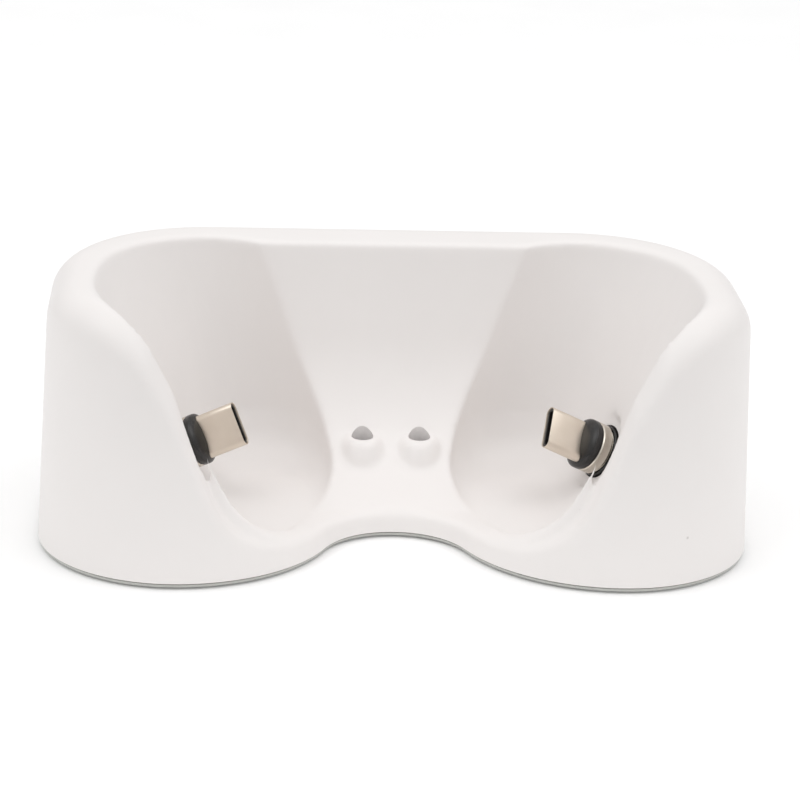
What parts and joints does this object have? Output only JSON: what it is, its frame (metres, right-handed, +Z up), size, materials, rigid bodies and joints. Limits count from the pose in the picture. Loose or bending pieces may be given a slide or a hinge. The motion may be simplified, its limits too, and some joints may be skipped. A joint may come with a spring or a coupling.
{
  "type": "controller charging dock",
  "caption": "Desktop charging dock with two leaning wells for hand controllers, each with a magnetic plug tip, an indicator light and a rear power inlet.",
  "frame": {"origin": "middle of the footprint, on the plane the rubber feet stand on", "axes": "+X to the right bay as seen from the front, +Y to the back, +Z up"},
  "size_m": [0.13, 0.069, 0.0488],
  "materials": {
    "white_plastic": "fine-textured moulded plastic",
    "plate_plastic": "moulded plastic",
    "rubber": "matt rubber",
    "screw_steel": "black zinc plated steel",
    "black_plastic": "glossy moulded plastic",
    "nickel": "nickel plate",
    "plug_steel": "nickel plated stainless steel",
    "gold": "gold plate",
    "board": "green solder mask over glass-fibre laminate",
    "chip": "moulded epoxy",
    "can": "drawn can",
    "header": "moulded nylon",
    "lens": "clear epoxy",
    "lead": "tinned wire",
    "red_wire": "PVC insulation",
    "black_wire": "PVC insulation"
  },
  "bodies": {
    "dock": {"top_shell": "white_plastic", "base_plate": "plate_plastic", "main_board": "board", "inlet_shell": "nickel", "inlet_tongue": "black_plastic", "foot_1": "rubber", "foot_2": "rubber", "foot_3": "rubber", "foot_4": "rubber", "screw_1": "screw_steel", "screw_2": "screw_steel", "screw_3": "screw_steel", "screw_4": "screw_steel", "light_lens_left": "lens", "light_lead_left_1": "lead", "light_lead_left_2": "lead", "charger_chip_left": "chip", "inductor_left": "chip", "capacitor_left": "can", "wire_header_left": "header", "wire_red_left": "red_wire", "wire_black_left": "black_wire", "socket_housing_left": "black_plastic", "socket_magnet_left": "nickel", "pin_barrel_left": "gold", "light_lens_right": "lens", "light_lead_right_1": "lead", "light_lead_right_2": "lead", "charger_chip_right": "chip", "inductor_right": "chip", "capacitor_right": "can", "wire_header_right": "header", "wire_red_right": "red_wire", "wire_black_right": "black_wire", "socket_housing_right": "black_plastic", "socket_magnet_right": "nickel", "pin_barrel_right": "gold"},
    "left_pin": {"pin_plunger_left": "gold"},
    "left_tip_base": {"tip_ring_left": "nickel", "tip_core_left": "black_plastic", "tip_contact_left": "gold"},
    "left_tip": {"tip_collar_left": "black_plastic", "tip_plug_left": "plug_steel", "tip_insert_left": "black_plastic"},
    "right_pin": {"pin_plunger_right": "gold"},
    "right_tip_base": {"tip_ring_right": "nickel", "tip_core_right": "black_plastic", "tip_contact_right": "gold"},
    "right_tip": {"tip_collar_right": "black_plastic", "tip_plug_right": "plug_steel", "tip_insert_right": "black_plastic"}
  },
  "joints": [
    {"name": "left_tip_pull", "type": "slide", "parent": "dock", "child": "left_tip_base", "axis": [0.8511, -0.251, 0.4611], "range_m": [0, 0.02]},
    {"name": "left_tip_spin", "type": "hinge", "parent": "left_tip_base", "child": "left_tip", "pos_m": [-0.03539, -0.00003, 0.01591], "axis": [0.8511, -0.251, 0.4611], "continuous": true},
    {"name": "left_pin_press", "type": "slide", "parent": "dock", "child": "left_pin", "axis": [0.8511, -0.251, 0.4611], "range_m": [-0.0008, 0], "stiffness_N_per_m": 400, "springref_m": 0.001},
    {"name": "right_tip_pull", "type": "slide", "parent": "dock", "child": "right_tip_base", "axis": [-0.8511, -0.251, 0.4611], "range_m": [0, 0.02]},
    {"name": "right_tip_spin", "type": "hinge", "parent": "right_tip_base", "child": "right_tip", "pos_m": [0.03539, -0.00003, 0.01591], "axis": [-0.8511, -0.251, 0.4611], "continuous": true},
    {"name": "right_pin_press", "type": "slide", "parent": "dock", "child": "right_pin", "axis": [-0.8511, -0.251, 0.4611], "range_m": [-0.0008, 0], "stiffness_N_per_m": 400, "springref_m": 0.001}
  ]
}
